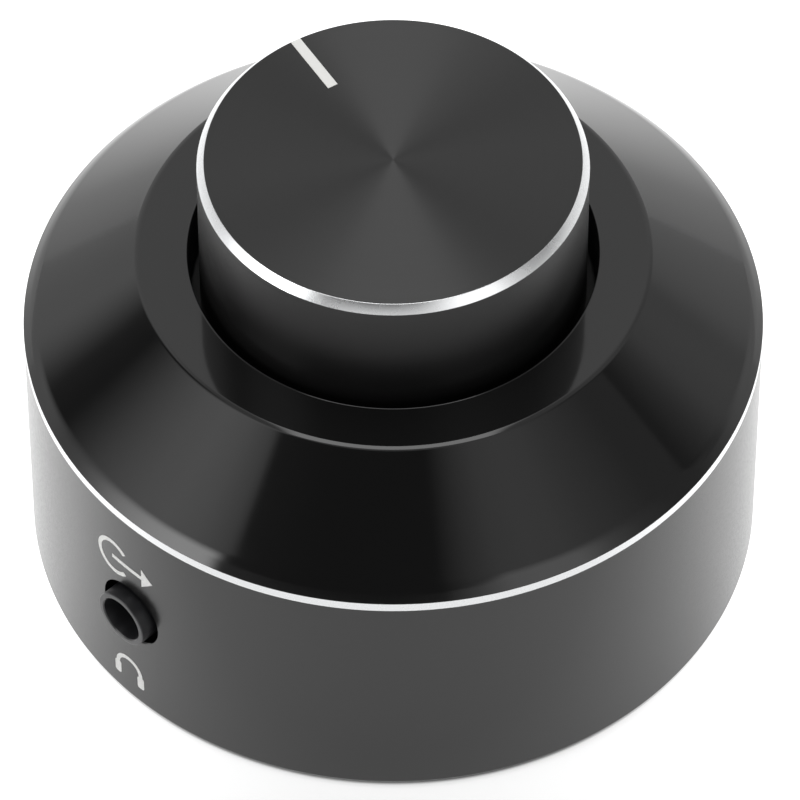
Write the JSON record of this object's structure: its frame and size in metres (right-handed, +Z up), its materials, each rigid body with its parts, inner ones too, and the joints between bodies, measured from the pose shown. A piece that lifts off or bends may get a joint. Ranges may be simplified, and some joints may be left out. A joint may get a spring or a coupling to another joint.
{
  "type": "desktop volume control",
  "caption": "Round black aluminium desktop volume control with a large knob sunk in its top, stereo jacks in its side and a rotary potentiometer inside.",
  "frame": {"origin": "on the table under the knob's axis, in the plane of the four feet", "axes": "+Z up along the knob's axis; the picture looks along +Y, so the output jack is at the front left, at azimuth 225 degrees from +X"},
  "size_m": [0.064, 0.064, 0.0458],
  "materials": {
    "case_anodised": "black anodised, fine satin, with a bright-cut band",
    "cover_anodised": "black anodised sheet",
    "plated_steel": "zinc plated",
    "shaft_steel": "turned and ground",
    "foot_rubber": "moulded, matte",
    "board_laminate": "glass-epoxy board with green solder resist",
    "jack_plastic": "moulded, satin",
    "spring_bronze": "stamped phosphor bronze",
    "die_cast_zinc": "die-cast zinc, as cast",
    "chamber_plastic": "moulded phenolic",
    "wafer_phenolic": "phenolic paper laminate",
    "terminal_silver": "silver-plated brass",
    "rotor_nylon": "moulded nylon",
    "knob_anodised": "dark anodised, spun face, bright-cut chamfer",
    "insert_plastic": "moulded ABS",
    "mark_paint": "white enamel filling, flush"
  },
  "bodies": {
    "case": {"case_shell": "case_anodised", "bottom_cover": "cover_anodised", "cover_screws": "plated_steel", "rubber_feet": "foot_rubber", "circuit_board": "board_laminate", "out_jack_body": "jack_plastic", "out_jack_tip_spring": "spring_bronze", "out_jack_ring_spring": "spring_bronze", "out_jack_sleeve_spring": "spring_bronze", "in_jack_body": "jack_plastic", "in_jack_tip_spring": "spring_bronze", "in_jack_ring_spring": "spring_bronze", "in_jack_sleeve_spring": "spring_bronze", "pot_bushing": "die_cast_zinc", "pot_chambers": "chamber_plastic", "pot_upper_wafer": "wafer_phenolic", "pot_lower_wafer": "wafer_phenolic", "pot_upper_terminals": "terminal_silver", "pot_lower_terminals": "terminal_silver", "pot_clamp": "plated_steel", "pot_nut": "plated_steel", "lock_washer": "plated_steel"},
    "knob": {"pot_shaft": "shaft_steel", "shaft_clip": "plated_steel", "pot_rotors": "rotor_nylon", "pot_wipers": "spring_bronze", "knob_shell": "knob_anodised", "knob_insert": "insert_plastic", "index_mark": "mark_paint"}
  },
  "joints": [
    {"name": "volume_turn", "type": "hinge", "parent": "case", "child": "knob", "pos_m": [0, 0, 0.0282], "axis": [0, 0, 1], "range_deg": [-91.5, 208.5]}
  ]
}
